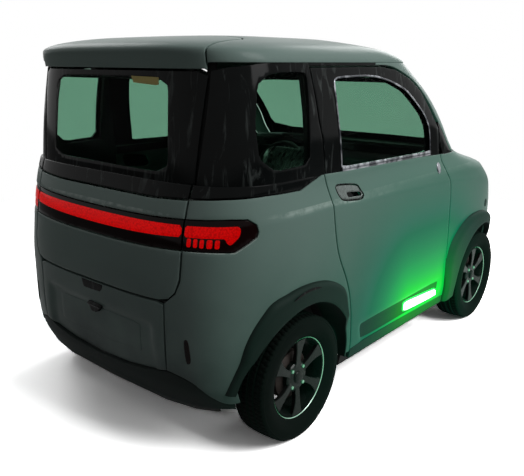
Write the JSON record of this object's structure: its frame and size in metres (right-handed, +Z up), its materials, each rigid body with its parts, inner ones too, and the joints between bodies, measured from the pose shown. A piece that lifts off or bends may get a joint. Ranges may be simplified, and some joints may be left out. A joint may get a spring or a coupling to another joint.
{
  "type": "small three-door electric city car",
  "caption": "Two-box electric city car with hinged doors, tailgate and hood, steered front wheels, full-width tail lamp and dark wrap-round upper body",
  "frame": {"origin": "on the ground, midway between the axles, on the centre line", "axes": "+X forward, +Y to the car's left, +Z up"},
  "size_m": [2.72, 1.48, 1.606],
  "materials": {
    "paint": "gloss grey paint with a faint green tint",
    "gloss_black": "gloss black",
    "dark_plastic": "fine grained dark grey moulding",
    "glass": "tinted glass",
    "tyre": "road tyre rubber",
    "alloy": "machined faces, gloss black between",
    "lamp_red": "red lamp under clear black cover",
    "reflector": "dark red reflector",
    "lamp_clear": "clear lamp cover",
    "seat_cover": "dark cloth under clear film",
    "housing": "plain casing",
    "chassis": "satin black underbody",
    "grip": "fine grained black"
  },
  "bodies": {
    "root": {"tub": "chassis", "battery": "housing", "motor": "housing", "rear_axle": "chassis", "front_axle": "chassis", "fender_left": "paint", "fender_right": "paint", "front_bumper": "paint", "front_grille": "dark_plastic", "headlamps": "lamp_clear", "cowl": "dark_plastic", "windscreen": "glass", "roof": "paint", "window_frames": "gloss_black", "quarter_glass": "glass", "quarter_left": "paint", "quarter_right": "paint", "rear_bumper": "paint", "rear_valance": "dark_plastic", "reflectors": "reflector", "tail_lamps": "lamp_red", "flares_left": "dark_plastic", "flares_right": "dark_plastic", "dashboard": "dark_plastic", "front_seats": "seat_cover", "rear_seat": "seat_cover", "plate_panel": "paint", "hinges": "housing"},
    "hood": {"hood": "paint"},
    "tailgate": {"spoiler": "paint", "tailgate": "paint", "rear_glass": "glass", "light_bar": "lamp_red"},
    "door_left": {"door_left": "paint", "door_glass_left": "glass", "door_trim_left": "dark_plastic"},
    "door_right": {"door_right": "paint", "door_glass_right": "glass", "door_trim_right": "dark_plastic"},
    "steer_left": {"knuckle_left": "chassis"},
    "steer_right": {"knuckle_right": "chassis"},
    "wheel_front_left": {"tyre_front_left": "tyre", "rim_front_left": "alloy"},
    "wheel_front_right": {"tyre_front_right": "tyre", "rim_front_right": "alloy"},
    "wheel_rear_left": {"tyre_rear_left": "tyre", "rim_rear_left": "alloy"},
    "wheel_rear_right": {"tyre_rear_right": "tyre", "rim_rear_right": "alloy"},
    "steering_wheel": {"steering_wheel": "grip"}
  },
  "joints": [
    {"name": "steer_left_turn", "type": "hinge", "parent": "root", "child": "steer_left", "pos_m": [0.875, 0.5795, 0.265], "axis": [0, 0, 1], "range_deg": [-30, 30]},
    {"name": "steer_right_turn", "type": "hinge", "parent": "root", "child": "steer_right", "pos_m": [0.875, -0.5795, 0.265], "axis": [0, 0, 1], "range_deg": [-30, 30]},
    {"name": "steering_wheel_turn", "type": "hinge", "parent": "root", "child": "steering_wheel", "pos_m": [0.33, 0.3, 0.83], "axis": [-0.9063, 0, 0.4226], "range_deg": [-450, 450]},
    {"name": "wheel_front_left_spin", "type": "hinge", "parent": "steer_left", "child": "wheel_front_left", "pos_m": [0.875, 0.6375, 0.265], "axis": [0, 1, 0], "continuous": true},
    {"name": "wheel_front_right_spin", "type": "hinge", "parent": "steer_right", "child": "wheel_front_right", "pos_m": [0.875, -0.6375, 0.265], "axis": [0, 1, 0], "continuous": true},
    {"name": "wheel_rear_left_spin", "type": "hinge", "parent": "root", "child": "wheel_rear_left", "pos_m": [-0.875, 0.6375, 0.265], "axis": [0, 1, 0], "continuous": true},
    {"name": "wheel_rear_right_spin", "type": "hinge", "parent": "root", "child": "wheel_rear_right", "pos_m": [-0.875, -0.6375, 0.265], "axis": [0, 1, 0], "continuous": true},
    {"name": "door_left_swing", "type": "hinge", "parent": "root", "child": "door_left", "pos_m": [0.325, 0.695, 0.59], "axis": [0, 0, -1], "range_deg": [0, 65]},
    {"name": "door_right_swing", "type": "hinge", "parent": "root", "child": "door_right", "pos_m": [0.325, -0.695, 0.59], "axis": [0, 0, 1], "range_deg": [0, 65]},
    {"name": "tailgate_lift", "type": "hinge", "parent": "root", "child": "tailgate", "pos_m": [-1.075, 0, 1.57], "axis": [0, 1, 0], "range_deg": [0, 75]},
    {"name": "hood_lift", "type": "hinge", "parent": "root", "child": "hood", "pos_m": [0.79, 0, 0.995], "axis": [0, -1, 0], "range_deg": [0, 50]}
  ],
  "couplings": [
    {"joint": "steer_right_turn", "follows": "steer_left_turn", "ratio": 1},
    {"joint": "steering_wheel_turn", "follows": "steer_left_turn", "ratio": 15}
  ]
}
